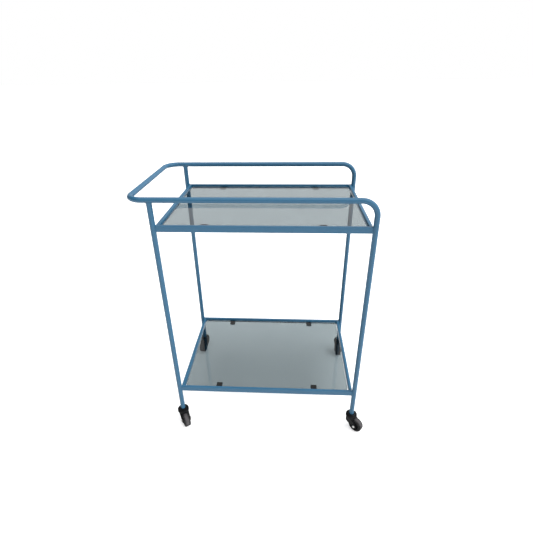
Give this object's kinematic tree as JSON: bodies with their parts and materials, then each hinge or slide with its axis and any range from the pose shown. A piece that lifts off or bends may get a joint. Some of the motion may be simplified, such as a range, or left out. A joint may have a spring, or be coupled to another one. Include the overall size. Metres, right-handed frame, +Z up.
{
  "type": "serving cart",
  "caption": "Tiered serving cart of bent blue steel tube with a U-shaped push rail, loose smoked glass shelves and swivel casters.",
  "frame": {"origin": "on the floor, under the middle of the cart's overall box as it stands at rest", "axes": "+Z up, +X along the rails away from the handle crossbar, +Y across the cart to the rear side, so that the handle is at the -X end"},
  "size_m": [0.734, 0.4785, 0.874],
  "materials": {
    "blue_powder_coat": "satin blue powder coat with a fine orange-peel texture",
    "smoked_glass": "clear polished grey tinted glass with ground edges",
    "pad_rubber": "matt black rubber",
    "socket_plastic": "black moulded plastic",
    "zinc_steel": "bright zinc plate",
    "washer_steel": "dull pressed steel",
    "fork_plastic": "black moulded nylon, fine grain",
    "hub_plastic": "black moulded plastic, satin",
    "tyre_rubber": "grey rubber tread, matt",
    "bush_plastic": "natural acetal"
  },
  "bodies": {
    "cart_frame": {"push_rail": "blue_powder_coat", "front_left_leg": "blue_powder_coat", "rear_left_leg": "blue_powder_coat", "upper_front_bar": "blue_powder_coat", "upper_rear_bar": "blue_powder_coat", "upper_left_bar": "blue_powder_coat", "upper_right_bar": "blue_powder_coat", "lower_front_bar": "blue_powder_coat", "lower_rear_bar": "blue_powder_coat", "lower_left_bar": "blue_powder_coat", "lower_right_bar": "blue_powder_coat", "upper_tabs": "blue_powder_coat", "upper_pads": "pad_rubber", "lower_tabs": "blue_powder_coat", "lower_pads": "pad_rubber", "front_left_stem_socket": "socket_plastic", "front_left_stem": "zinc_steel", "front_right_stem_socket": "socket_plastic", "front_right_stem": "zinc_steel", "rear_left_stem_socket": "socket_plastic", "rear_left_stem": "zinc_steel", "rear_right_stem_socket": "socket_plastic", "rear_right_stem": "zinc_steel"},
    "upper_glass_pane": {"upper_glass": "smoked_glass"},
    "lower_glass_pane": {"lower_glass": "smoked_glass"},
    "front_left_swivel": {"front_left_fork": "fork_plastic", "front_left_swivel_washer": "washer_steel", "front_left_axle_bolt": "zinc_steel", "front_left_axle_nut": "zinc_steel"},
    "front_left_wheel": {"front_left_hub": "hub_plastic", "front_left_tyre": "tyre_rubber", "front_left_bush": "bush_plastic"},
    "front_right_swivel": {"front_right_fork": "fork_plastic", "front_right_swivel_washer": "washer_steel", "front_right_axle_bolt": "zinc_steel", "front_right_axle_nut": "zinc_steel"},
    "front_right_wheel": {"front_right_hub": "hub_plastic", "front_right_tyre": "tyre_rubber", "front_right_bush": "bush_plastic"},
    "rear_left_swivel": {"rear_left_fork": "fork_plastic", "rear_left_swivel_washer": "washer_steel", "rear_left_axle_bolt": "zinc_steel", "rear_left_axle_nut": "zinc_steel"},
    "rear_left_wheel": {"rear_left_hub": "hub_plastic", "rear_left_tyre": "tyre_rubber", "rear_left_bush": "bush_plastic"},
    "rear_right_swivel": {"rear_right_fork": "fork_plastic", "rear_right_swivel_washer": "washer_steel", "rear_right_axle_bolt": "zinc_steel", "rear_right_axle_nut": "zinc_steel"},
    "rear_right_wheel": {"rear_right_hub": "hub_plastic", "rear_right_tyre": "tyre_rubber", "rear_right_bush": "bush_plastic"}
  },
  "joints": [
    {"name": "upper_glass_lift", "type": "slide", "parent": "cart_frame", "child": "upper_glass_pane", "axis": [0, 0, 1], "range_m": [0, 0.12]},
    {"name": "lower_glass_lift", "type": "slide", "parent": "cart_frame", "child": "lower_glass_pane", "axis": [0, 0, 1], "range_m": [0, 0.12]},
    {"name": "front_left_swivel_turn", "type": "hinge", "parent": "cart_frame", "child": "front_left_swivel", "pos_m": [-0.29484, -0.19402, 0.06], "axis": [0, 0, 1], "continuous": true},
    {"name": "front_left_wheel_roll", "type": "hinge", "parent": "front_left_swivel", "child": "front_left_wheel", "pos_m": [-0.28351, -0.21288, 0.025], "axis": [0.8572, 0.515, 0], "continuous": true},
    {"name": "front_right_swivel_turn", "type": "hinge", "parent": "cart_frame", "child": "front_right_swivel", "pos_m": [0.32516, -0.19402, 0.06], "axis": [0, 0, 1], "continuous": true},
    {"name": "front_right_wheel_roll", "type": "hinge", "parent": "front_right_swivel", "child": "front_right_wheel", "pos_m": [0.34176, -0.20846, 0.025], "axis": [0.6561, 0.7547, 0], "continuous": true},
    {"name": "rear_left_swivel_turn", "type": "hinge", "parent": "cart_frame", "child": "rear_left_swivel", "pos_m": [-0.29484, 0.21998, 0.06], "axis": [0, 0, 1], "continuous": true},
    {"name": "rear_left_wheel_roll", "type": "hinge", "parent": "rear_left_swivel", "child": "rear_left_wheel", "pos_m": [-0.29942, 0.19846, 0.025], "axis": [0.9781, -0.2079, 0], "continuous": true},
    {"name": "rear_right_swivel_turn", "type": "hinge", "parent": "cart_frame", "child": "rear_right_swivel", "pos_m": [0.32516, 0.21998, 0.06], "axis": [0, 0, 1], "continuous": true},
    {"name": "rear_right_wheel_roll", "type": "hinge", "parent": "rear_right_swivel", "child": "rear_right_wheel", "pos_m": [0.32362, 0.19803, 0.025], "axis": [0.9976, -0.0698, 0], "continuous": true}
  ]
}
